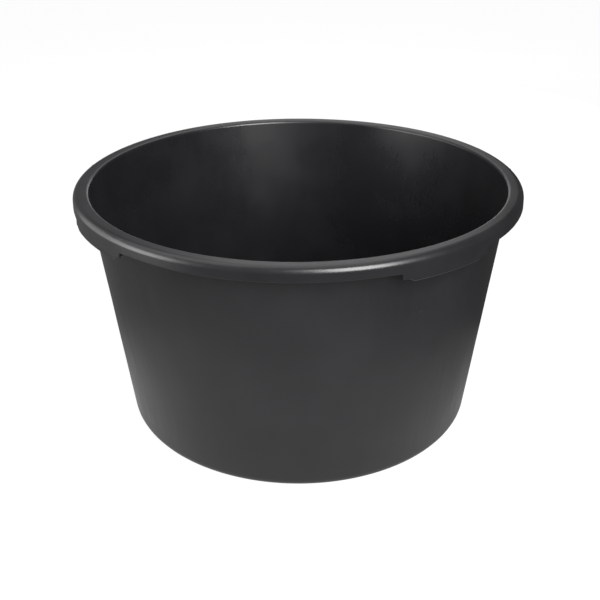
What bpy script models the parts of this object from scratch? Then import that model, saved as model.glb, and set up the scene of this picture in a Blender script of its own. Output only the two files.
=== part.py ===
"""Round mortar mixing tub: a tapered bowl with a turned-over rim and four moulded hand grips.

The real tub is one injection moulding. It is modelled here as its functional regions, one
object each, with a hairline gap wherever two regions meet.
Metres, +Z up. The origin is the centre of the foot, and the grips lie on +X, +Y, -X and -Y.
"""

from math import cos, pi, radians, sin, tan

import bmesh
import bpy
from mathutils import Vector

# Driving dimensions
RIM_RADIUS = 0.2955  # at the lower edge of the grips' beads, the widest place
HEIGHT = 0.329
BASE_RADIUS = 0.2417  # outer wall line, carried down to the ground
DRAFT = radians(6.1)
WALL = 0.0025
GAP = 0.0003  # between neighbouring regions

# Base
BASE_CORNER = 0.014
FOOT_INNER_RADIUS = 0.205
DISH_RADIUS = 0.201
DISH_RISE = 0.004
BASE_TOP = 0.030  # where the base region hands over to the wall

# Rim
RIM_START = 0.292  # where the wall region hands over to the rim
TOP_TILT = radians(3.5)  # the top face rises outward
LIP_RADIUS = 0.004
CROWN_RADIUS = 0.008
SKIRT_DEPTH = 0.0168
SKIRT_DRAFT = radians(3.0)
EDGE_RADIUS = 0.001

# Hand grips: an apron below the skirt, and a shorter, thicker bead along its lower edge
GRIP_DEPTH = 0.029  # to the lower edge of the bead
APRON_HALF_ANGLE = radians(12.35)
BEAD_HALF_ANGLE = radians(10.0)
BEAD_HEIGHT = 0.0045
BEAD = 0.0015  # extra thickness, on the inner side
BEAD_OUTER_ROUND = 0.0028
BEAD_INNER_ROUND = 0.0008
WEB = 0.0025
WEB_INSET = 0.001  # in from the end of the bead

# Stiffening ribs in the rim channel
RIB = 0.002
RIBS_PER_QUADRANT = 3
RIB_OUTER_DEPTH = 0.0130
RIB_INNER_DEPTH = 0.0162

AROUND = 96  # segments in a full turn
ARC_STEPS = 4  # segments in a rounded corner
GRIP_STEPS = 8

SIDES = {"right": 0.0, "back": pi / 2, "left": pi, "front": -pi / 2}

BLACK = (0.020, 0.021, 0.024, 1.0)
ROUGHNESS = {"base": 0.48, "wall": 0.42, "rim": 0.40, "grip": 0.42, "rib": 0.50}


def wall_outer(z):
    """Radius of the wall's outer face at height z."""
    return BASE_RADIUS + z * tan(DRAFT)


def wall_inner(z):
    """Radius of the wall's inner face at height z."""
    return wall_outer(z) - WALL


def skirt_outer(z):
    """Radius of the skirt's outer face, which is widest at the lower edge of the grips."""
    return RIM_RADIUS - (z - (HEIGHT - GRIP_DEPTH)) * tan(SKIRT_DRAFT)


def skirt_inner(z):
    """Radius of the skirt's inner face at height z."""
    return skirt_outer(z) - WALL


def crown_corner():
    """Where the tilted top face and the skirt's outer face would meet with no rounding."""
    over_crest = CROWN_RADIUS * (tan(TOP_TILT) + 1 / cos(TOP_TILT) - 1)
    return skirt_outer(HEIGHT), HEIGHT + over_crest


def top_face(radius):
    """Height of the rim's tilted top face at a radius."""
    corner_radius, corner_height = crown_corner()
    return corner_height - (corner_radius - radius) * tan(TOP_TILT)


def under_face(radius):
    """Height of the rim channel's roof at a radius."""
    return top_face(radius) - WALL / cos(TOP_TILT)


def leg_corner(inward, down):
    """Where the wall line, moved inward, meets the rim's tilted top face, moved down."""
    corner_radius, corner_height = crown_corner()
    slope = tan(TOP_TILT)
    radius = BASE_RADIUS - inward
    height = (corner_height - down - (corner_radius - radius) * slope) / (1 - tan(DRAFT) * slope)
    return radius + height * tan(DRAFT), height


def rounded(corners):
    """Points of an outline. Each corner is (radius, height, rounding), and a rounding gives an arc."""
    points = []
    count = len(corners)
    for index, (x, z, rounding) in enumerate(corners):
        here = Vector((x, z))
        if rounding == 0.0:
            points.append(here)
            continue
        before = Vector(corners[index - 1][:2]) - here
        after = Vector(corners[(index + 1) % count][:2]) - here
        before.normalize()
        after.normalize()
        half = before.angle(after) / 2
        centre = here + (before + after).normalized() * (rounding / sin(half))
        start = here + before * (rounding / tan(half)) - centre
        turn = start.angle_signed(here + after * (rounding / tan(half)) - centre)
        for step in range(ARC_STEPS + 1):
            angle = -turn * step / ARC_STEPS
            across = Vector((
                start.x * cos(angle) - start.y * sin(angle),
                start.x * sin(angle) + start.y * cos(angle),
            ))
            points.append(centre + across)
    return points


def plastic(name, kind):
    """Black polyethylene with the gloss of its region."""
    material = bpy.data.materials.new(name + "_plastic")
    material.use_nodes = True
    shader = material.node_tree.nodes["Principled BSDF"]
    shader.inputs["Base Color"].default_value = BLACK
    shader.inputs["Roughness"].default_value = ROUGHNESS[kind]
    shader.inputs["Metallic"].default_value = 0.0
    material.diffuse_color = BLACK
    return material


def add_object(name, data, kind, collection):
    """An object in the tub's collection with a material of its own."""
    new = bpy.data.objects.new(name, data)
    collection.objects.link(new)
    data.materials.clear()
    data.materials.append(plastic(name, kind))
    return new


def turned(name, outline, kind, collection, closed=True):
    """A full turn of an outline about Z. An open outline starts and ends on the axis."""
    mesh = bpy.data.meshes.new(name)
    count = len(outline)
    edges = [(i, (i + 1) % count) for i in range(count if closed else count - 1)]
    mesh.from_pydata([(p.x, 0.0, p.y) for p in outline], edges, [])
    new = add_object(name, mesh, kind, collection)
    screw = new.modifiers.new("turn", "SCREW")
    screw.steps = AROUND
    screw.render_steps = AROUND
    screw.use_merge_vertices = True
    screw.merge_threshold = 0.00001
    screw.use_smooth_shade = True
    return new


def swept_mesh(name, outline, half_angle, steps):
    """A solid arc about Z, centred on +X, with the given outline as its section."""
    builder = bmesh.new()
    first = [
        builder.verts.new((p.x * cos(half_angle), -p.x * sin(half_angle), p.y)) for p in outline
    ]
    section = builder.faces.new(first)
    bmesh.ops.spin(
        builder,
        geom=[section],
        cent=(0.0, 0.0, 0.0),
        axis=(0.0, 0.0, 1.0),
        angle=2 * half_angle,
        steps=steps,
    )
    bmesh.ops.recalc_face_normals(builder, faces=builder.faces)
    mesh = bpy.data.meshes.new(name)
    builder.to_mesh(mesh)
    builder.free()
    mesh.shade_smooth()
    mesh.set_sharp_from_angle(angle=radians(40))
    return mesh


def radial_plate(name, outline, thickness, azimuth, sideways, kind, collection):
    """An upright plate in the radial plane at an azimuth, moved sideways along the rim."""
    curve = bpy.data.curves.new(name, "CURVE")
    curve.dimensions = "2D"
    curve.fill_mode = "BOTH"
    curve.extrude = thickness / 2
    spline = curve.splines.new("POLY")
    spline.points.add(len(outline) - 1)
    for point, (x, z) in zip(spline.points, outline):
        point.co = (x, z, 0.0, 1.0)
    spline.use_cyclic_u = True
    new = add_object(name, curve, kind, collection)
    new.rotation_euler = (pi / 2, 0.0, azimuth)
    new.location = (-sideways * sin(azimuth), sideways * cos(azimuth), 0.0)
    return new


def base_outline():
    """Half section of the base: dished floor, foot ring, rounded corner and the start of the wall."""
    corners = [
        (0.0, DISH_RISE + WALL, 0.0),
        (DISH_RADIUS, DISH_RISE + WALL, 0.0),
        (FOOT_INNER_RADIUS, WALL, 0.0),
        (wall_inner(WALL), WALL, BASE_CORNER - WALL),
        (wall_inner(BASE_TOP), BASE_TOP, 0.0),
        (wall_outer(BASE_TOP), BASE_TOP, 0.0),
        (wall_outer(0.0), 0.0, BASE_CORNER),
        (FOOT_INNER_RADIUS - WALL / 2, 0.0, 0.0),
        (DISH_RADIUS - WALL / 2, DISH_RISE, 0.0),
        (0.0, DISH_RISE, 0.0),
    ]
    return rounded(corners)


def wall_outline():
    """Section of the tapered wall between the base and the rim."""
    top = RIM_START - GAP
    bottom = BASE_TOP + GAP
    corners = [
        (wall_outer(top), top, 0.0),
        (wall_outer(bottom), bottom, 0.0),
        (wall_inner(bottom), bottom, 0.0),
        (wall_inner(top), top, 0.0),
    ]
    return rounded(corners)


def rim_outline():
    """Section of the rim: inner leg, tilted top face, rounded crown and hanging skirt."""
    edge = HEIGHT - SKIRT_DEPTH
    corner_radius, corner_height = crown_corner()
    roof = corner_radius - WALL
    corners = [
        (*leg_corner(WALL, 0.0), LIP_RADIUS),
        (corner_radius, corner_height, CROWN_RADIUS),
        (skirt_outer(edge), edge, EDGE_RADIUS),
        (skirt_inner(edge), edge, EDGE_RADIUS),
        (roof, under_face(roof), CROWN_RADIUS - WALL),
        (*leg_corner(0.0, WALL / cos(TOP_TILT)), EDGE_RADIUS),
        (wall_outer(RIM_START), RIM_START, 0.0),
        (wall_inner(RIM_START), RIM_START, 0.0),
    ]
    return rounded(corners)


def apron_outline():
    """Section of a grip's apron, which carries the skirt further down."""
    top = HEIGHT - SKIRT_DEPTH - GAP
    bottom = HEIGHT - GRIP_DEPTH + BEAD_HEIGHT
    corners = [
        (skirt_outer(top), top, 0.0),
        (skirt_outer(bottom), bottom, EDGE_RADIUS),
        (skirt_inner(bottom), bottom, EDGE_RADIUS),
        (skirt_inner(top), top, 0.0),
    ]
    return rounded(corners)


def bead_outline():
    """Section of the bead under an apron: rounded outside and thicker on the inner side."""
    top = HEIGHT - GRIP_DEPTH + BEAD_HEIGHT - GAP
    bottom = HEIGHT - GRIP_DEPTH
    inside = skirt_inner(bottom) - BEAD
    corners = [
        (skirt_outer(top), top, 0.0),
        (skirt_outer(bottom), bottom, BEAD_OUTER_ROUND),
        (inside, bottom, BEAD_INNER_ROUND),
        (inside, top, BEAD_INNER_ROUND),
    ]
    return rounded(corners)


def channel_roof_outline():
    """Upper part of a plate that fills the rim channel, from the skirt's side to the wall's."""
    shoulder = CROWN_RADIUS - WALL
    inset = EDGE_RADIUS + GAP
    shoulder_height = HEIGHT - CROWN_RADIUS
    outer = skirt_inner(shoulder_height) - GAP
    root_radius, root_height = leg_corner(0.0, WALL / cos(TOP_TILT))
    return [
        (outer, shoulder_height),
        (outer - shoulder, under_face(outer - shoulder) - GAP),
        (root_radius + inset, under_face(root_radius + inset) - GAP),
        (wall_outer(root_height - inset) + GAP, root_height - inset),
    ]


def web_outline():
    """Outline of a grip's end web, which passes behind the bead and up the apron's inner face."""
    bottom = HEIGHT - GRIP_DEPTH
    bead_face = skirt_inner(bottom) - BEAD - GAP
    above_bead = bottom + BEAD_HEIGHT + GAP
    return [
        (wall_outer(bottom) + GAP, bottom),
        (bead_face, bottom),
        (bead_face, above_bead),
        (skirt_inner(above_bead) - GAP, above_bead),
        *channel_roof_outline(),
    ]


def rib_outline():
    """Outline of a stiffening rib, deeper at the wall than at the skirt."""
    low_in = HEIGHT - RIB_INNER_DEPTH
    low_out = HEIGHT - RIB_OUTER_DEPTH
    return [
        (wall_outer(low_in) + GAP, low_in),
        (skirt_inner(low_out) - GAP, low_out),
        *channel_roof_outline(),
    ]


def build_bowl(collection):
    turned("base", base_outline(), "base", collection, closed=False)
    turned("side_wall", wall_outline(), "wall", collection)
    turned("rim", rim_outline(), "rim", collection)


def build_grips(collection):
    for side, azimuth in SIDES.items():
        arcs = (
            ("grip_apron_" + side, apron_outline(), APRON_HALF_ANGLE),
            ("grip_bead_" + side, bead_outline(), BEAD_HALF_ANGLE),
        )
        for name, outline, half_angle in arcs:
            mesh = swept_mesh(name, outline, half_angle, GRIP_STEPS)
            arc = add_object(name, mesh, "grip", collection)
            arc.rotation_euler.z = azimuth
        for number, direction in enumerate((-1, 1), start=1):
            end = azimuth + direction * BEAD_HALF_ANGLE
            sideways = -direction * (WEB_INSET + WEB / 2)
            web_name = f"grip_web_{side}_{number}"
            radial_plate(web_name, web_outline(), WEB, end, sideways, "grip", collection)


def build_ribs(collection):
    free_arc = pi / 2 - 2 * APRON_HALF_ANGLE
    for quadrant, start in enumerate(SIDES.values()):
        for place in range(RIBS_PER_QUADRANT):
            share = (place + 1) / (RIBS_PER_QUADRANT + 1)
            azimuth = start + APRON_HALF_ANGLE + free_arc * share
            name = f"rim_rib_{quadrant * RIBS_PER_QUADRANT + place + 1:02d}"
            radial_plate(name, rib_outline(), RIB, azimuth, 0.0, "rib", collection)


def main():
    for old in list(bpy.data.objects):
        bpy.data.objects.remove(old, do_unlink=True)
    collection = bpy.data.collections.new("mortar_mixing_tub")
    bpy.context.scene.collection.children.link(collection)
    build_bowl(collection)
    build_grips(collection)
    build_ribs(collection)


main()
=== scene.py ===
"""Looks of the round mortar mixing tub: fine surfaces, black polyethylene, pale studio and camera.

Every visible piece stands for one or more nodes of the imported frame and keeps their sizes. The
tub is one injection moulding, so neighbouring pieces meet edge to edge with no step between them.
"""

from math import ceil, cos, pi, radians, sin, sqrt, tan

import bmesh
import bpy
import numpy as np
from mathutils import Matrix, Vector


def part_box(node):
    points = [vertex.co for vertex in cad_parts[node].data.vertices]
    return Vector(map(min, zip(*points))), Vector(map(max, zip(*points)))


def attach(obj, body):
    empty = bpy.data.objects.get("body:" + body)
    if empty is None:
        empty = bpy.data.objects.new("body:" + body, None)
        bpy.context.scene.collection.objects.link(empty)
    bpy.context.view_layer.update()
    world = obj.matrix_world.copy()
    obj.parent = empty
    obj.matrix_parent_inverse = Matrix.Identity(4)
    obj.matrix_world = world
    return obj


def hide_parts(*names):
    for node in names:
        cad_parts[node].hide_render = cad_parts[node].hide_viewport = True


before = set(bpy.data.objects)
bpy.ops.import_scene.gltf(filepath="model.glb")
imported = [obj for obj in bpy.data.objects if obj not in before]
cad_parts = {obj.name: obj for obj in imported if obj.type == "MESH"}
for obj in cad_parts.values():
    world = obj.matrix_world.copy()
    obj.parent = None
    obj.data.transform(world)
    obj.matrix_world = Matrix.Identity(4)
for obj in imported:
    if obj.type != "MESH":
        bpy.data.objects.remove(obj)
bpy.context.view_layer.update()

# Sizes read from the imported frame
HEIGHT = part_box("rim")[1].z
GRIP_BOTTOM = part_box("grip_bead_right")[0].z
APRON_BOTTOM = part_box("grip_apron_right")[0].z

# Sizes that repeat the CAD's driving dimensions
SKIRT_DEPTH = 0.0168
SKIRT_BOTTOM = HEIGHT - SKIRT_DEPTH
RIM_START = 0.292  # height at which the wall ends and the rim begins
BASE_TOP = 0.030  # height at which the base ends and the wall begins
RIM_RADIUS = 0.2955
BASE_RADIUS = 0.2417
DRAFT = radians(6.1)
WALL = 0.0025
BASE_CORNER = 0.014
FOOT_INNER_RADIUS = 0.205
DISH_RADIUS = 0.201
DISH_RISE = 0.004
TOP_TILT = radians(3.5)
LIP_RADIUS = 0.004
CROWN_RADIUS = 0.008
SKIRT_DRAFT = radians(3.0)
EDGE_RADIUS = 0.001
APRON_HALF_ANGLE = radians(12.35)
BEAD_HALF_ANGLE = radians(10.0)
BEAD = 0.0015
BEAD_INNER_ROUND = 0.0008
WEB = 0.0025
WEB_INSET = 0.001
RIB = 0.002
RIBS_PER_QUADRANT = 3
RIB_OUTER_DEPTH = 0.0130
RIB_INNER_DEPTH = 0.0162
SIDES = {"right": 0.0, "back": pi / 2, "left": pi, "front": -pi / 2}

# Fine shape that only the visual model has
BEAD_RAMP = (0.002, 0.005)  # a bead's ends slope up from this far inside to this far outside
BEAD_OUTER_ROUND = 0.0031  # a little rounder than in the CAD
BEAD_CORNER = 0.006
BEAD_FILLET = 0.004
APRON_CORNER = 0.0012
APRON_FILLET = 0.0012
END_LEAN = 0.0003  # how far a grip's ends lean outward over their height
EDGE_DROP = 0.0010  # how far the skirt's edge comes down beside a grip
EDGE_RUN = 0.015
EDGE_ROUND = 0.10
BEAD_EASE = 0.006  # length over which the bead comes to its full thickness
UNDER_LIP_RADIUS = 0.002
CROWN_MARGIN = 0.0003  # how far below the crown its first row may lie
QUARTER = RIM_RADIUS * pi / 2  # length of a quarter turn at the rim
BEAD_END = RIM_RADIUS * BEAD_HALF_ANGLE
APRON_END = RIM_RADIUS * APRON_HALF_ANGLE

# The base's inside and underside
DISH_ROUND_ABOVE = 0.006
DISH_ROUND_BELOW = 0.004
FOOT_ROUND_ABOVE = 0.004
FOOT_ROUND_BELOW = 0.003
GATE_RECESS = (0.016, 0.0148, 0.0008)  # outer and inner radius of its side, and its depth
GATE_MARK = (0.0045, 0.0036, 0.0012)  # outer and inner radius of its side, and how far it stands out
GATE_ROUNDS = (0.0008, 0.0006, 0.0004)  # the recess's edges, and the mark's foot and edge

# Mesh density
STEP_ALONG = 0.004
WALL_STEP = 0.007
BASE_STEP = 0.02
RIM_STEP = 0.004
RIM_SUPPORT = 0.0006  # distance from a rounding to the row that holds the flat beside it
BASE_SUPPORT = 0.0008
CROWN_STEPS = 14
UNDER_STEPS = 8
BASE_STEPS = 7
CORNER_STEPS = 6
SKIRT_ROWS = (0.0, 0.04, 0.10, 0.17, 0.235, 0.27, 0.32, 0.40, 0.52, 0.66, 0.80, 0.93)
SAME_POINT = 1e-7
SMOOTH_ANGLE = radians(38)


# ---------------------------------------------------------------- section of the moulding
def wall_outer(z):
    """Radius of the wall's outer face at a height."""
    return BASE_RADIUS + z * tan(DRAFT)


def wall_inner(z):
    return wall_outer(z) - WALL


def skirt_outer(z):
    """Radius of the skirt's outer face at a height."""
    return RIM_RADIUS - (z - GRIP_BOTTOM) * tan(SKIRT_DRAFT)


def skirt_inner(z):
    return skirt_outer(z) - WALL


def crown_corner():
    """Where the skirt's line and the top face's line would meet if the crown weren't rounded."""
    over_crest = CROWN_RADIUS * (tan(TOP_TILT) + 1 / cos(TOP_TILT) - 1)
    return skirt_outer(HEIGHT), HEIGHT + over_crest


def under_face(radius):
    """Height of the rim channel's roof at a radius."""
    corner_radius, corner_height = crown_corner()
    return corner_height - (corner_radius - radius) * tan(TOP_TILT) - WALL / cos(TOP_TILT)


def leg_corner(inward, down):
    """Where a line this far inside the wall's outer face meets one this far below the top face."""
    corner_radius, corner_height = crown_corner()
    slope = tan(TOP_TILT)
    radius = BASE_RADIUS - inward
    height = (corner_height - down - (corner_radius - radius) * slope) / (1 - tan(DRAFT) * slope)
    return radius + height * tan(DRAFT), height


def fillet_arc(before, corner, after, rounding, steps):
    """Points and travel directions of the arc that rounds a corner of a path."""
    here = Vector(corner)
    to_before = (Vector(before) - here).normalized()
    to_after = (Vector(after) - here).normalized()
    half = to_before.angle(to_after) / 2
    centre = here + (to_before + to_after).normalized() * (rounding / sin(half))
    start = here + to_before * (rounding / tan(half)) - centre
    end = here + to_after * (rounding / tan(half)) - centre
    turn = -start.angle_signed(end)
    found = []
    for step in range(steps + 1):
        angle = turn * step / steps
        spoke = Vector((
            start.x * cos(angle) - start.y * sin(angle),
            start.x * sin(angle) + start.y * cos(angle),
        ))
        ahead = Vector((-spoke.y, spoke.x)) * (1 if turn > 0 else -1)
        found.append((centre + spoke, ahead.normalized()))
    return found


def path_points(corners, steps, longest, support=0.0):
    """An open path through corners (x, z, rounding), as (point, travel direction). Straight runs are
    divided to at most `longest`, and `support` adds a point beside each rounding."""
    marks = []
    for index, (x, z, rounding) in enumerate(corners):
        if 0 < index < len(corners) - 1 and rounding:
            marks.append(
                fillet_arc(corners[index - 1][:2], (x, z), corners[index + 1][:2], rounding, steps)
            )
        else:
            marks.append([(Vector((x, z)), None)])
    found = []
    for index, group in enumerate(marks):
        if index:
            start = found[-1][0]
            run = group[0][0] - start
            shares = []
            if support and run.length > 3 * support:
                shares += [support / run.length, 1 - support / run.length]
            count = max(1, ceil(run.length / longest))
            shares += [k / count for k in range(1, count)]
            ahead = run.normalized() if run.length else None
            if found[-1][1] is None:
                found[-1] = (found[-1][0], ahead)
            found += [(start + run * share, ahead) for share in sorted(shares)]
            if group[0][1] is None:
                group[0] = (group[0][0], ahead)
        found += group
    clean = [found[0]]
    for point, ahead in found[1:]:
        if (point - clean[-1][0]).length > SAME_POINT:
            clean.append((point, ahead))
    return clean


# ---------------------------------------------------------------- mesh building
# Out-of-round of the whole tub: (depth, lobes, phase)
LOBES = ((0.00035, 2, 0.7), (0.00016, 3, -1.1))
# Waves of the wall: (depth, waves round the tub, waves up it, phase)
WAVES = (
    (0.00011, 9, 5.0, 1.3),
    (0.00007, 17, -9.0, 0.0),
    (0.00005, 29, 14.0, 0.4),
    (0.00006, 2, 21.0, 0.0),
)
RIM_LIFT = 0.00022  # how far the rim bends up and down, four times round
STIFF_RADIUS = 0.12  # the middle of the base stays flat
STIFF_EASE = 0.10


def settle(points):
    """The slight out-of-round and waviness that a large thin moulding has after it cools."""
    points = np.asarray(points, float)
    x, y, z = points[..., 0], points[..., 1], points[..., 2]
    radius = np.hypot(x, y)
    around = np.arctan2(y, x)
    up = z / HEIGHT
    body = np.clip((radius - STIFF_RADIUS) / STIFF_EASE, 0, 1)
    wall = np.sin(pi * np.clip(up * 1.05, 0, 1)) * body
    push = sum(depth * up * np.cos(lobes * around + phase) for depth, lobes, phase in LOBES)
    for depth, turns, rise, phase in WAVES:
        push = push + wall * depth * np.sin(turns * around + rise * up + phase)
    lift = RIM_LIFT * np.clip((up - 0.85) / 0.15, 0, 1) * np.cos(4 * around + 0.5) * body
    scale = 1 + push / np.maximum(radius, 1e-6) * body
    return np.stack([x * scale, y * scale, z + lift], axis=-1)


def make_piece(name, points, faces, material, weld=0.0):
    """A smooth-shaded mesh object that rides with the tub."""
    mesh = bpy.data.meshes.new(name)
    mesh.from_pydata([tuple(p) for p in settle(points)], [], faces)
    builder = bmesh.new()
    builder.from_mesh(mesh)
    if weld:
        bmesh.ops.remove_doubles(builder, verts=builder.verts, dist=weld)
    bmesh.ops.recalc_face_normals(builder, faces=builder.faces)
    builder.to_mesh(mesh)
    builder.free()
    mesh.shade_smooth()
    mesh.set_sharp_from_angle(angle=SMOOTH_ANGLE)
    mesh.materials.append(material)
    piece = bpy.data.objects.new(name, mesh)
    bpy.context.scene.collection.objects.link(piece)
    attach(piece, "root")
    return piece


def ring_faces(columns, rows, closed_rows):
    """Quads of a grid whose columns run once round the tub."""
    faces = []
    for column in range(columns):
        after = (column + 1) % columns
        for row in range(rows if closed_rows else rows - 1):
            above = (row + 1) % rows
            faces.append((
                column * rows + row, after * rows + row,
                after * rows + above, column * rows + above,
            ))
    return faces


def turned(name, outline, material, azimuths, on_axis=False):
    """A full turn of a section (radius, height). With on_axis it starts and ends on the axis."""
    section = np.array(outline)
    ring = section[1:-1] if on_axis else section
    count, rows = len(azimuths), len(ring)
    across = np.stack([np.cos(azimuths), np.sin(azimuths)], axis=1)
    points = np.zeros((count, rows, 3))
    points[..., :2] = across[:, None, :] * ring[None, :, :1]
    points[..., 2] = ring[None, :, 1]
    points = points.reshape(-1, 3)
    faces = ring_faces(count, rows, not on_axis)
    if on_axis:
        first, last = len(points), len(points) + 1
        ends = [(0.0, 0.0, section[0][1]), (0.0, 0.0, section[-1][1])]
        points = np.vstack([points, ends])
        for column in range(count):
            after = (column + 1) % count
            faces.append((first, column * rows, after * rows))
            faces.append((last, after * rows + rows - 1, column * rows + rows - 1))
    return make_piece(name, points, faces, material)


# ---------------------------------------------------------------- rim and grips
def skirt_edge():
    """The skirt's lower edge once round, as lengths along, heights and travel directions. It starts
    in the middle of the right grip."""
    end = [
        (BEAD_END - BEAD_RAMP[0], GRIP_BOTTOM, BEAD_CORNER),
        (BEAD_END + BEAD_RAMP[1], APRON_BOTTOM, BEAD_FILLET),
        (APRON_END, APRON_BOTTOM, APRON_CORNER),
        (APRON_END + END_LEAN, SKIRT_BOTTOM - EDGE_DROP, APRON_FILLET),
        (APRON_END + EDGE_RUN, SKIRT_BOTTOM, EDGE_ROUND),
    ]
    mirrored = [(QUARTER - along, height, rounding) for along, height, rounding in reversed(end)]
    corners = [(0.0, GRIP_BOTTOM, 0.0), *end, *mirrored, (QUARTER, GRIP_BOTTOM, 0.0)]
    one_quarter = path_points(corners, CORNER_STEPS, STEP_ALONG)[:-1]
    along, height, travel = [], [], []
    for turn in range(4):
        for point, ahead in one_quarter:
            along.append(point.x + turn * QUARTER)
            height.append(point.y)
            travel.append((ahead.x, ahead.y))
    return np.array(along), np.array(height), np.array(travel)


def eased_columns(along, height):
    """Where each column of the rim's grid passes over the crown: evened out above the grips' ends."""
    step = np.hypot(np.diff(along), np.diff(height))
    travelled = np.concatenate([[0.0], np.cumsum(step)])
    top = along.copy()
    near = BEAD_END - BEAD_EASE
    far = APRON_END + END_LEAN + 2 * APRON_FILLET
    for turn in range(4):
        passed = turn * QUARTER
        for start, end in ((near, far), (QUARTER - far, QUARTER - near)):
            inside = np.where((along > start + passed) & (along < end + passed))[0]
            low, high = inside[0], inside[-1]
            share = (travelled[low:high + 1] - travelled[low]) / (travelled[high] - travelled[low])
            top[low:high + 1] = along[low] + share * (along[high] - along[low])
    return top


EDGE_ALONG, EDGE_HEIGHT, EDGE_TRAVEL = skirt_edge()
TOP_ALONG = eased_columns(EDGE_ALONG, EDGE_HEIGHT)
AZIMUTHS = TOP_ALONG / RIM_RADIUS


def bead_share(along, height):
    """How much of the thickening bead there is at a place on an apron, from 0 to 1."""
    off = np.abs((along + QUARTER / 2) % QUARTER - QUARTER / 2)
    sideways = np.clip((BEAD_END + BEAD_RAMP[1] - off) / BEAD_EASE, 0, 1)
    up = np.clip((APRON_BOTTOM + BEAD - height) / BEAD, 0, 1)
    return sideways * up * up * (3 - 2 * up)


def rim_sections():
    """The rim's section (radius, height) outside from the crown to the wall, and back inside it."""
    corner_radius, corner_height = crown_corner()
    roof = corner_radius - WALL
    over = path_points(
        [
            (skirt_outer(SKIRT_BOTTOM), SKIRT_BOTTOM, 0.0),
            (corner_radius, corner_height, CROWN_RADIUS),
            (*leg_corner(WALL, 0.0), LIP_RADIUS),
            (wall_inner(RIM_START), RIM_START, 0.0),
        ],
        CROWN_STEPS, RIM_STEP, RIM_SUPPORT,
    )
    under = path_points(
        [
            (wall_outer(RIM_START), RIM_START, 0.0),
            (*leg_corner(0.0, WALL / cos(TOP_TILT)), UNDER_LIP_RADIUS),
            (roof, under_face(roof), CROWN_RADIUS - WALL),
            (skirt_inner(SKIRT_BOTTOM), SKIRT_BOTTOM, 0.0),
        ],
        UNDER_STEPS, RIM_STEP, RIM_SUPPORT,
    )
    # The skirt below the crown has rows of its own, so the sections leave it out
    crown_foot = corner_height - CROWN_RADIUS - CROWN_MARGIN
    start = next(index for index, (point, _) in enumerate(over) if point.y > crown_foot)
    stop = max(index for index, (point, _) in enumerate(under) if point.y > crown_foot)
    return [point for point, _ in over[start:]], [point for point, _ in under[:stop + 1]]


def skirt_rows(edge, target, inner):
    """Rows up a face of the skirt, from its lower edge to the point where the crown begins."""
    rows = []
    for share in SKIRT_ROWS:
        along = edge[:, 0] + (TOP_ALONG - edge[:, 0]) * share
        height = edge[:, 1] + (target.y - edge[:, 1]) * share
        radius = skirt_outer(height)
        if inner:
            radius = radius - WALL - BEAD * bead_share(along, height)
        rows.append((along, height, radius))
    return rows


def build_rim(material):
    """Rim, skirt, grip aprons and their beads as one closed surface."""
    over, under = rim_sections()
    outward = np.stack([EDGE_TRAVEL[:, 1], -EDGE_TRAVEL[:, 0]], axis=1)
    place = np.stack([EDGE_ALONG, EDGE_HEIGHT], axis=1)
    bead = bead_share(EDGE_ALONG, EDGE_HEIGHT)
    thick = WALL + BEAD * bead
    round_in = EDGE_RADIUS + (BEAD_INNER_ROUND - EDGE_RADIUS) * bead
    round_out = EDGE_RADIUS + (BEAD_OUTER_ROUND - EDGE_RADIUS) * bead
    ones = np.ones(len(TOP_ALONG))
    # Each row holds (along, height, radius) of every column
    rows = skirt_rows(place - outward * round_out[:, None], over[0], False)
    rows += [(TOP_ALONG, ones * point.y, ones * point.x) for point in over + under]
    rows += reversed(skirt_rows(place - outward * round_in[:, None], under[-1], True))
    for step in range(1, CORNER_STEPS + 1):
        angle = pi / 2 * step / CORNER_STEPS
        spot = place - outward * (round_in * (1 - sin(angle)))[:, None]
        inset = thick - round_in * (1 - cos(angle))
        rows.append((spot[:, 0], spot[:, 1], skirt_outer(spot[:, 1]) - inset))
    for step in range(CORNER_STEPS, 0, -1):
        angle = pi / 2 * step / CORNER_STEPS
        spot = place - outward * (round_out * (1 - sin(angle)))[:, None]
        inset = round_out * (1 - cos(angle))
        rows.append((spot[:, 0], spot[:, 1], skirt_outer(spot[:, 1]) - inset))
    grid = np.array(rows)  # rows, 3, columns
    azimuth = grid[:, 0] / RIM_RADIUS
    points = np.stack(
        [grid[:, 2] * np.cos(azimuth), grid[:, 2] * np.sin(azimuth), grid[:, 1]], axis=-1
    )
    points = points.transpose(1, 0, 2).reshape(-1, 3)
    faces = ring_faces(len(TOP_ALONG), len(rows), True)
    piece = make_piece("moulded_rim", points, faces, material)
    grips = [kind + side for kind in ("grip_apron_", "grip_bead_") for side in SIDES]
    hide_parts("rim", *grips)


# ---------------------------------------------------------------- wall and base
def straight_run(start, end):
    return [p for p, _ in path_points([(*start, 0.0), (*end, 0.0)], 1, WALL_STEP)]


def build_wall(material):
    outline = straight_run((wall_outer(RIM_START), RIM_START), (wall_outer(BASE_TOP), BASE_TOP))
    outline += straight_run((wall_inner(BASE_TOP), BASE_TOP), (wall_inner(RIM_START), RIM_START))
    piece = turned("moulded_wall", outline, material, AZIMUTHS)
    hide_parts("side_wall")


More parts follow.
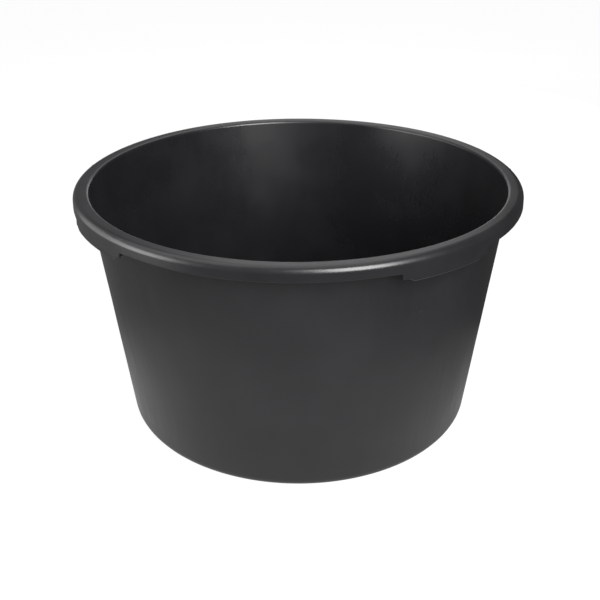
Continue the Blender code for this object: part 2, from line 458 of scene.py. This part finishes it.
def build_base(material):
    """The base, with the moulding gate's mark in a shallow recess under its middle."""
    recess_edge, recess_floor, recess_depth = GATE_RECESS
    mark_foot, mark_edge, mark_height = GATE_MARK
    recess_round, foot_round, mark_round = GATE_ROUNDS
    recess = DISH_RISE + recess_depth
    mark = DISH_RISE - mark_height
    corners = [
        (0.0, DISH_RISE + WALL, 0.0),
        (DISH_RADIUS, DISH_RISE + WALL, DISH_ROUND_ABOVE),
        (FOOT_INNER_RADIUS, WALL, FOOT_ROUND_ABOVE),
        (wall_inner(WALL), WALL, BASE_CORNER - WALL),
        (wall_inner(BASE_TOP), BASE_TOP, 0.0),
        (wall_outer(BASE_TOP), BASE_TOP, 0.0),
        (wall_outer(0.0), 0.0, BASE_CORNER),
        (FOOT_INNER_RADIUS - WALL / 2, 0.0, FOOT_ROUND_BELOW),
        (DISH_RADIUS - WALL / 2, DISH_RISE, DISH_ROUND_BELOW),
        (recess_edge, DISH_RISE, recess_round),
        (recess_floor, recess, recess_round),
        (mark_foot, recess, foot_round),
        (mark_edge, mark, mark_round),
        (0.0, mark, 0.0),
    ]
    outline = [p for p, _ in path_points(corners, BASE_STEPS, BASE_STEP, BASE_SUPPORT)]
    piece = turned("moulded_base", outline, material, AZIMUTHS[::2], on_axis=True)
    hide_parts("base")


# ---------------------------------------------------------------- webs and ribs
PLATE_EMBED = 0.0004  # how far a plate reaches into the wall, the skirt and the roof
PLATE_ROOT = 0.0012  # radius of the fillets where it meets them
PLATE_EDGE_SHARE = 0.86  # its thickness at the free edge, as a share of that at the roof
PLATE_ROUND = 0.48  # radius of its free edge, as a share of its thickness
ROOT_MARKS = (-PLATE_EMBED, 0.0, 0.00015, 0.0004, 0.0008, PLATE_ROOT)
ACROSS_MARKS = (0.2, 0.35, 0.5, 0.65, 0.8)
UPWARD_MARKS = (0.3, 0.45, 0.6, 0.75)
PLATE_EDGE_STEPS = 5


def plate_faces(columns, rows):
    """Both sides of a plate and the strip round its wall, roof and skirt edges."""
    back = columns * rows
    faces = []
    for column in range(columns - 1):
        for row in range(rows - 1):
            a = column * rows + row
            b = a + rows
            faces += [(a, b, b + 1, a + 1), (a + 1 + back, b + 1 + back, b + back, a + back)]
    loop = list(range(rows))
    loop += [column * rows + rows - 1 for column in range(1, columns)]
    loop += [(columns - 1) * rows + row for row in range(rows - 2, -1, -1)]
    faces += [(a, b, b + back, a + back) for a, b in zip(loop, loop[1:])]
    return faces


def plate(node, azimuth, sideways, thickness, low_in, low_out, material):
    """An upright plate across the rim channel: drafted, with a rounded free edge and filleted roots.

    Its free edge runs from the height low_in at the wall to low_out at the skirt.
    """
    width = skirt_inner(low_out) - wall_outer(low_in)
    at_ends = [mark / width for mark in ROOT_MARKS]
    across = [*at_ends, *ACROSS_MARKS, *(1 - share for share in reversed(at_ends))]
    middle = (wall_outer(HEIGHT) + skirt_inner(HEIGHT)) / 2
    tall = under_face(middle) - (low_in + low_out) / 2
    rounding = thickness * PLATE_ROUND
    angles = [pi / 2 * step / PLATE_EDGE_STEPS for step in range(PLATE_EDGE_STEPS + 1)]
    upward = [rounding * (1 - cos(angle)) / tall for angle in angles]
    upward += [*UPWARD_MARKS, *(1 - mark / tall for mark in reversed(ROOT_MARKS))]
    front, back = [], []
    for u in across:
        for v in upward:
            low = low_in + (low_out - low_in) * u
            z = low + (under_face(middle + (u - 0.5) * width) - low) * v
            at_wall, at_skirt = wall_outer(z), skirt_inner(z)
            r = at_wall + (at_skirt - at_wall) * u
            nearest = max(0.0, min((r - at_wall) * cos(DRAFT), at_skirt - r, under_face(r) - z))
            half = thickness / 2 * (PLATE_EDGE_SHARE + (1 - PLATE_EDGE_SHARE) * v)
            rise = (z - low) / rounding
            if rise < 1:
                half *= sqrt(max(0.0, 1 - (1 - rise) ** 2))
            blend = max(0.0, 1 - nearest / PLATE_ROOT)
            fillet = PLATE_ROOT - sqrt(PLATE_ROOT ** 2 - (PLATE_ROOT * blend) ** 2)
            half += fillet * min(1.0, rise)
            for points, side in ((front, sideways + half), (back, sideways - half)):
                points.append((
                    r * cos(azimuth) - side * sin(azimuth), r * sin(azimuth) + side * cos(azimuth), z,
                ))
    faces = plate_faces(len(across), len(upward))
    piece = make_piece("moulded_" + node, front + back, faces, material, weld=SAME_POINT)
    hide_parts(node)


def build_webs(material):
    """Two webs behind each grip's bead, one just inside each of its ends."""
    for side, azimuth in SIDES.items():
        for number, direction in enumerate((-1, 1), start=1):
            end = azimuth + direction * BEAD_HALF_ANGLE
            sideways = -direction * (WEB_INSET + WEB / 2)
            plate(f"grip_web_{side}_{number}", end, sideways, WEB,
                  GRIP_BOTTOM, GRIP_BOTTOM + EDGE_RADIUS, material)


def build_ribs(material):
    """Ribs spread evenly between each grip and the next."""
    free_arc = pi / 2 - 2 * APRON_HALF_ANGLE
    for quadrant, start in enumerate(SIDES.values()):
        for place in range(RIBS_PER_QUADRANT):
            share = (place + 1) / (RIBS_PER_QUADRANT + 1)
            azimuth = start + APRON_HALF_ANGLE + free_arc * share
            number = quadrant * RIBS_PER_QUADRANT + place + 1
            plate(f"rim_rib_{number:02d}", azimuth, 0.0, RIB,
                  HEIGHT - RIB_INNER_DEPTH, HEIGHT - RIB_OUTER_DEPTH, material)


# ---------------------------------------------------------------- materials
BLACK_DEEP = (0.0088, 0.0089, 0.0098, 1.0)
BLACK_PALE = (0.0114, 0.0115, 0.0126, 1.0)
SCUFF_GREY = (0.040, 0.040, 0.042, 1.0)
DUST_GREY = (0.070, 0.067, 0.062, 1.0)
SCUFF_COVER = 0.30
LOW_DUST = 0.35  # dust near the foot, next to that on surfaces that face up
CALM = 0.8  # how much weaker the drag lines are inside and on the rim
# How much each trait changes the roughness
MOTTLE_GLOSS = 0.16
RIM_POLISH = -0.05
CLOUD_GLOSS = 0.10
STREAK_GLOSS = 0.20
INSIDE_POLISH = -0.08
SCUFF_GLOSS = 0.08
FLECK_GLOSS = 0.08
DUST_GLOSS = 0.6
# How high each trait stands in the relief
PEEL_RELIEF = 0.35
GRAIN_RELIEF = 0.16
FLECK_RELIEF = 0.12
STREAK_RELIEF = 0.40
SCUFF_RELIEF = -0.05
RELIEF_HEIGHT = 0.00012
RELIEF_STRENGTH = 0.55


class Graph:
    """Short way to write shader nodes: values and links are given together."""

    def __init__(self, material):
        self.tree = material.node_tree
        self.tree.nodes.clear()

    def add(self, kind, settings=None, **inputs):
        node = self.tree.nodes.new(kind)
        for key, value in (settings or {}).items():
            setattr(node, key, value)
        for key, value in inputs.items():
            socket = node.inputs[int(key[1:])] if key[0] == "i" and key[1:].isdigit() else None
            if socket is None:
                socket = node.inputs[key.replace("_", " ")]
            if isinstance(value, bpy.types.NodeSocket):
                self.tree.links.new(value, socket)
            else:
                socket.default_value = value
        return node

    def math(self, operation, a, b=0.0, clamp=False):
        settings = {"operation": operation, "use_clamp": clamp}
        return self.add("ShaderNodeMath", settings, i0=a, i1=b).outputs[0]

    def times(self, a, b):
        return self.math("MULTIPLY", a, b)

    def centred(self, value):
        """A noise that swings round 0 instead of 0.5."""
        return self.math("SUBTRACT", value, 0.5)

    def total(self, first, *others):
        for other in others:
            first = self.math("ADD", first, other)
        return first

    def vector_math(self, operation, output, *vectors):
        places = {f"i{index}": vector for index, vector in enumerate(vectors)}
        node = self.add("ShaderNodeVectorMath", {"operation": operation}, **places)
        return node.outputs[output]

    def surface(self, shader):
        out = self.add("ShaderNodeOutputMaterial")
        self.tree.links.new(shader.outputs[0], out.inputs["Surface"])

    def noise(self, vector, scale, detail=2.0, roughness=0.5, distortion=0.0):
        node = self.add(
            "ShaderNodeTexNoise", Vector=vector, Scale=scale, Detail=detail,
            Roughness=roughness, Distortion=distortion,
        )
        return node.outputs["Fac"]

    def stretch(self, vector, scale, rotation=(0.0, 0.0, 0.0)):
        return self.add(
            "ShaderNodeMapping", Vector=vector, Scale=scale, Rotation=rotation
        ).outputs[0]

    def ramp(self, value, low, high, smooth=True):
        settings = {"clamp": True, "interpolation_type": "SMOOTHSTEP" if smooth else "LINEAR"}
        node = self.add("ShaderNodeMapRange", settings, Value=value)
        node.inputs["From Min"].default_value = low
        node.inputs["From Max"].default_value = high
        return node.outputs[0]

    def mix_colour(self, share, one, two):
        node = self.add("ShaderNodeMix", {"data_type": "RGBA"}, i0=share)
        for index, value in ((6, one), (7, two)):
            if isinstance(value, bpy.types.NodeSocket):
                self.tree.links.new(value, node.inputs[index])
            else:
                node.inputs[index].default_value = value
        return node.outputs[2]


def new_graph(name):
    material = bpy.data.materials.new(name)
    material.use_nodes = True
    return material, Graph(material)


def scuffs(g, spot, streak_spot):
    """Sparse fine scratches, in patches: one set slanting and one upright."""
    slanting = g.stretch(spot, (30.0, 420.0, 160.0), (0.3, 0.2, 0.7))
    upright = g.stretch(streak_spot, (420.0, 420.0, 22.0), (0.0, 0.05, 0.0))
    slanting = g.ramp(g.noise(slanting, 1.0, 3.0, 0.6), 0.68, 0.74)
    upright = g.ramp(g.noise(upright, 1.0, 3.0, 0.6), 0.66, 0.74)
    patches = g.ramp(g.noise(spot, 7.0, 3.0, 0.6), 0.50, 0.68)
    return g.times(g.math("MAXIMUM", slanting, upright), patches)


def dust_film(g, spot, height, facing_up, dust):
    """Dust on what faces up, and a little at the foot."""
    settled = g.times(g.ramp(facing_up, 0.15, 0.95), g.ramp(g.noise(spot, 60.0, 5.0, 0.7), 0.42, 0.75))
    low = g.ramp(height, 0.045, 0.0)
    return g.times(g.math("ADD", settled, g.times(low, LOW_DUST), clamp=True), dust)


def polyethylene(name, roughness, drag, dust):
    """Black polyethylene as moulded: satin, finely grained, with faint drag lines, mottling and
    scuffs. Outside of the wall's line, on the rim, it is glossier and has a fine speckle."""
    material, g = new_graph(name)
    spot = g.add("ShaderNodeTexCoord").outputs["Object"]
    height = g.add("ShaderNodeSeparateXYZ", Vector=spot).outputs["Z"]
    flat = g.vector_math("MULTIPLY", "Vector", spot, (1.0, 1.0, 0.0))
    ring = g.vector_math("NORMALIZE", "Vector", flat)
    radius = g.vector_math("LENGTH", "Value", flat)
    wall_line = g.math("ADD", g.times(height, tan(DRAFT)), BASE_RADIUS)
    on_rim = g.ramp(g.math("SUBTRACT", radius, wall_line), 0.001, 0.005)
    lifted = g.add("ShaderNodeCombineXYZ", X=0.0, Y=0.0, Z=g.times(height, 0.30)).outputs[0]
    streak_spot = g.vector_math("ADD", "Vector", ring, lifted)
    normal = g.add("ShaderNodeNewGeometry").outputs["Normal"]
    facing_up = g.add("ShaderNodeSeparateXYZ", Vector=normal).outputs["Z"]
    inside = g.ramp(g.vector_math("DOT_PRODUCT", "Value", normal, ring), -0.3, -0.8)

    # Traits of the surface, from the coarsest to the finest
    cloud = g.noise(spot, 3.2, 2.0, 0.5)
    mottle = g.noise(spot, 11.0, 4.0, 0.55)
    streaks = g.noise(streak_spot, 46.0, 5.0, 0.62)
    peel = g.noise(spot, 210.0, 2.0, 0.5)
    speckle = g.noise(spot, 520.0, 3.0, 0.6)
    grain = g.noise(spot, 1500.0, 2.0, 0.6)
    scuff = scuffs(g, spot, streak_spot)
    film = dust_film(g, spot, height, facing_up, dust)
    pull = g.math("SUBTRACT", drag, g.times(g.math("MAXIMUM", inside, on_rim), CALM * drag))
    streak = g.times(g.centred(streaks), pull)
    fleck = g.times(g.centred(speckle), on_rim)

    colour = g.mix_colour(g.ramp(mottle, 0.35, 0.68), BLACK_DEEP, BLACK_PALE)
    colour = g.mix_colour(g.times(scuff, SCUFF_COVER), colour, SCUFF_GREY)
    colour = g.mix_colour(film, colour, DUST_GREY)
    gloss = g.total(
        roughness,
        g.times(g.centred(mottle), MOTTLE_GLOSS),
        g.times(on_rim, RIM_POLISH),
        g.times(g.centred(cloud), CLOUD_GLOSS),
        g.times(streak, STREAK_GLOSS),
        g.times(inside, INSIDE_POLISH),
        g.times(scuff, SCUFF_GLOSS),
        g.times(fleck, FLECK_GLOSS),
        g.times(film, DUST_GLOSS),
    )
    relief = g.total(
        g.times(peel, PEEL_RELIEF),
        g.times(grain, GRAIN_RELIEF),
        g.times(fleck, FLECK_RELIEF),
        g.times(streak, STREAK_RELIEF),
        g.times(scuff, SCUFF_RELIEF),
    )
    bump = g.add(
        "ShaderNodeBump", Strength=RELIEF_STRENGTH, Distance=RELIEF_HEIGHT, Height=relief
    ).outputs[0]
    shader = g.add(
        "ShaderNodeBsdfPrincipled", Metallic=0.0, IOR=1.5, Specular_IOR_Level=0.5,
        Base_Color=colour, Roughness=gloss, Normal=bump,
    )
    g.surface(shader)
    return material


# ---------------------------------------------------------------- studio
TURN = Matrix.Rotation(radians(-34.5), 4, "Z")  # from the camera's own bearing to the tub's axes
AIM = Vector((0.0, 0.0, 0.25))
AIR = 0.20  # strength of the light from all around
AIR_COLOUR = (0.98, 0.99, 1.0, 1.0)
ROUND_STEPS = 72

FLOOR_GLOW = 0.95
FLOOR_ALBEDO = 0.08
FLOOR_MOTTLE = 1.04
FLOOR_GAP = 0.0003  # so that the floor and the foot don't lie in one plane
FLOOR_FIRST_RING = 0.05
FLOOR_RING_GROWTH = 1.28
FLOOR_RINGS = 18
BACKDROP_RADIUS = 6.0
BACKDROP_HEIGHT = 9.0
BACKDROP_BEND = 2.0
BACKDROP_STEPS = 12

BOUNCE = 0.68
BOUNCE_RADIUS = 0.56
BOUNCE_CORE = 0.45
BOUNCE_CENTRE = (-0.05, -0.24, -0.002)

FLAG_SIZE = 2.6
FLAG_BEARING = 122.0
FLAG_AWAY = 1.7
FLAG_HEIGHT = 0.35
FLAG_BLACK = (0.07, 0.07, 0.07, 1.0)

# name, bearing to the right of the camera's and elevation in degrees, distance, width, length, radiance
SOFTBOXES = (
    ("front_right", 28.0, 30.5, 2.0, 1.0, 1.4, 17.5),
    ("left", -77.0, 10.0, 2.0, 1.38, 1.5, 3.1),
    ("left_outer", -108.0, 10.0, 2.0, 0.85, 1.5, 1.5),
    ("left_core", -69.0, 8.0, 1.95, 0.9, 1.2, 3.9),
    ("back", 176.5, 9.0, 2.6, 1.1, 0.8, 1.15),
)
# name, place, width, length, radiance
OVERHEADS = (
    ("ceiling", (0.10, 1.2, 1.8), 1.2, 3.2, 1.15),
    ("top_left", (-1.25, 0.1, 1.9), 1.5, 1.6, 1.4),
)

LENS = 50.88
CAMERA_PLACE = (0.0, -1.0853806, 0.6983921)
CAMERA_TILT = 62.8533  # degrees up from looking straight down
CAMERA_YAW = -0.0831
CAMERA_ROLL = -0.2063


def ring_points(radius, height):
    angles = [2 * pi * step / ROUND_STEPS for step in range(ROUND_STEPS)]
    return [(radius * cos(angle), radius * sin(angle), height) for angle in angles]


def fan_faces():
    """Triangles from point 0 to the ring of points that follows it."""
    return [(0, 1 + k, 1 + (k + 1) % ROUND_STEPS) for k in range(ROUND_STEPS)]


def stage_piece(name, points, faces, material):
    """Something round the tub that isn't part of it and casts no shadow."""
    mesh = bpy.data.meshes.new(name)
    mesh.from_pydata(points, [], faces)
    mesh.materials.append(material)
    piece = bpy.data.objects.new(name, mesh)
    piece.visible_shadow = False
    bpy.context.scene.collection.objects.link(piece)
    return piece


def floor_material():
    material, g = new_graph("pale_floor")
    spot = g.add("ShaderNodeTexCoord").outputs["Object"]
    tone = g.ramp(g.noise(spot, 2.0, 3.0, 0.5), 0.3, 0.7)
    dark = (FLOOR_ALBEDO,) * 3 + (1.0,)
    pale = (FLOOR_ALBEDO * FLOOR_MOTTLE,) * 3 + (1.0,)
    shader = g.add(
        "ShaderNodeBsdfPrincipled", Base_Color=g.mix_colour(tone, dark, pale), Roughness=0.7,
        Specular_IOR_Level=0.0, Emission_Color=(1.0, 1.0, 1.0, 1.0), Emission_Strength=FLOOR_GLOW,
    )
    g.surface(shader)
    return material


def build_floor():
    """A pale tabletop that sweeps up into a backdrop. Only the camera sees it, so that it doesn't
    show as a white reflection in the black plastic."""
    bend_start = BACKDROP_RADIUS - BACKDROP_BEND
    flat = [FLOOR_FIRST_RING * FLOOR_RING_GROWTH ** k for k in range(FLOOR_RINGS)]
    outline = [(radius, 0.0) for radius in flat if radius < bend_start]
    for step in range(BACKDROP_STEPS + 1):
        angle = pi / 2 * step / BACKDROP_STEPS
        outline.append((bend_start + BACKDROP_BEND * sin(angle), BACKDROP_BEND * (1 - cos(angle))))
    outline.append((BACKDROP_RADIUS, BACKDROP_HEIGHT))
    points = [(0.0, 0.0, 0.0)]
    faces = fan_faces()
    for radius, height in outline:
        points += ring_points(radius, height)
    for number in range(1, len(outline)):
        inner, outer = 1 + (number - 1) * ROUND_STEPS, 1 + number * ROUND_STEPS
        for k in range(ROUND_STEPS):
            after = (k + 1) % ROUND_STEPS
            faces.append((inner + k, outer + k, outer + after, inner + after))
    floor = stage_piece("floor", points, faces, floor_material())
    floor.data.shade_smooth()
    floor.visible_diffuse = False
    floor.visible_glossy = False
    floor.location.z = -FLOOR_GAP


def build_bounce():
    """The lit patch of the table round the tub, as the plastic sees it. The camera doesn't see it."""
    material, g = new_graph("bounce_light")
    spot = g.add("ShaderNodeTexCoord").outputs["Object"]
    share = g.ramp(g.vector_math("LENGTH", "Value", spot), BOUNCE_RADIUS, BOUNCE_RADIUS * BOUNCE_CORE)
    strength = g.math("ADD", g.times(share, BOUNCE - AIR), AIR)
    g.surface(g.add("ShaderNodeEmission", Strength=strength))
    points = [(0.0, 0.0, 0.0), *ring_points(BOUNCE_RADIUS, 0.0)]
    card = stage_piece("bounce", points, fan_faces(), material)
    card.visible_camera = False
    card.matrix_world = TURN @ Matrix.Translation(BOUNCE_CENTRE)


def build_flag():
    """A black board to the right, out of the camera's sight, that keeps that side of the tub dark."""
    material, g = new_graph("black_flag")
    g.surface(g.add("ShaderNodeEmission", Color=FLAG_BLACK))
    half = FLAG_SIZE / 2
    points = [(-half, 0.0, -half), (half, 0.0, -half), (half, 0.0, half), (-half, 0.0, half)]
    flag = stage_piece("flag", points, [(0, 1, 2, 3)], material)
    flag.visible_camera = False
    around = radians(FLAG_BEARING)
    place = Matrix.Translation((sin(around) * FLAG_AWAY, -cos(around) * FLAG_AWAY, FLAG_HEIGHT))
    flag.matrix_world = TURN @ place @ Matrix.Rotation(around, 4, "Z")


def area_light(name, pose, width, length, radiance):
    """A rectangular light that shines down its pose's Z axis. Its radiance doesn't depend on its size."""
    data = bpy.data.lights.new(name, "AREA")
    data.shape = "RECTANGLE"
    data.size = width
    data.size_y = length
    data.energy = radiance * pi * width * length
    light = bpy.data.objects.new(name, data)
    light.visible_camera = False
    bpy.context.scene.collection.objects.link(light)
    light.matrix_world = TURN @ pose


def facing_the_tub(bearing, elevation, distance):
    around, up = radians(bearing), radians(elevation)
    backward = Vector((sin(around) * cos(up), -cos(around) * cos(up), sin(up)))
    sideways = Vector((cos(around), sin(around), 0.0))
    pose = Matrix((sideways, backward.cross(sideways), backward)).transposed().to_4x4()
    pose.translation = AIM + backward * distance
    return pose


def build_lights():
    for name, bearing, elevation, distance, width, length, radiance in SOFTBOXES:
        area_light(name, facing_the_tub(bearing, elevation, distance), width, length, radiance)
    for name, place, width, length, radiance in OVERHEADS:
        area_light(name, Matrix.Translation(place), width, length, radiance)
    world = bpy.data.worlds.new("studio")
    world.use_nodes = True
    background = world.node_tree.nodes["Background"]
    background.inputs["Color"].default_value = AIR_COLOUR
    background.inputs["Strength"].default_value = AIR
    bpy.context.scene.world = world
    bpy.context.scene.view_settings.view_transform = "Standard"


def build_camera():
    data = bpy.data.cameras.new("camera")
    data.lens = LENS
    data.sensor_width = 36.0
    data.clip_start = 0.05
    data.clip_end = 60.0
    camera = bpy.data.objects.new("camera", data)
    bpy.context.scene.collection.objects.link(camera)
    pose = Matrix.Translation(CAMERA_PLACE)
    for angle, axis in ((CAMERA_YAW, "Z"), (CAMERA_TILT, "X"), (CAMERA_ROLL, "Z")):
        pose = pose @ Matrix.Rotation(radians(angle), 4, axis)
    camera.matrix_world = TURN @ pose
    bpy.context.scene.camera = camera


def main():
    build_base(polyethylene("polyethylene_base", roughness=0.38, drag=0.5, dust=0.05))
    bowl = polyethylene("polyethylene_bowl", roughness=0.36, drag=1.0, dust=0.03)
    build_wall(bowl)
    build_rim(bowl)
    build_webs(polyethylene("polyethylene_grip", roughness=0.38, drag=0.3, dust=0.03))
    build_ribs(polyethylene("polyethylene_rib", roughness=0.40, drag=0.3, dust=0.03))
    build_floor()
    build_bounce()
    build_flag()
    build_lights()
    build_camera()


main()
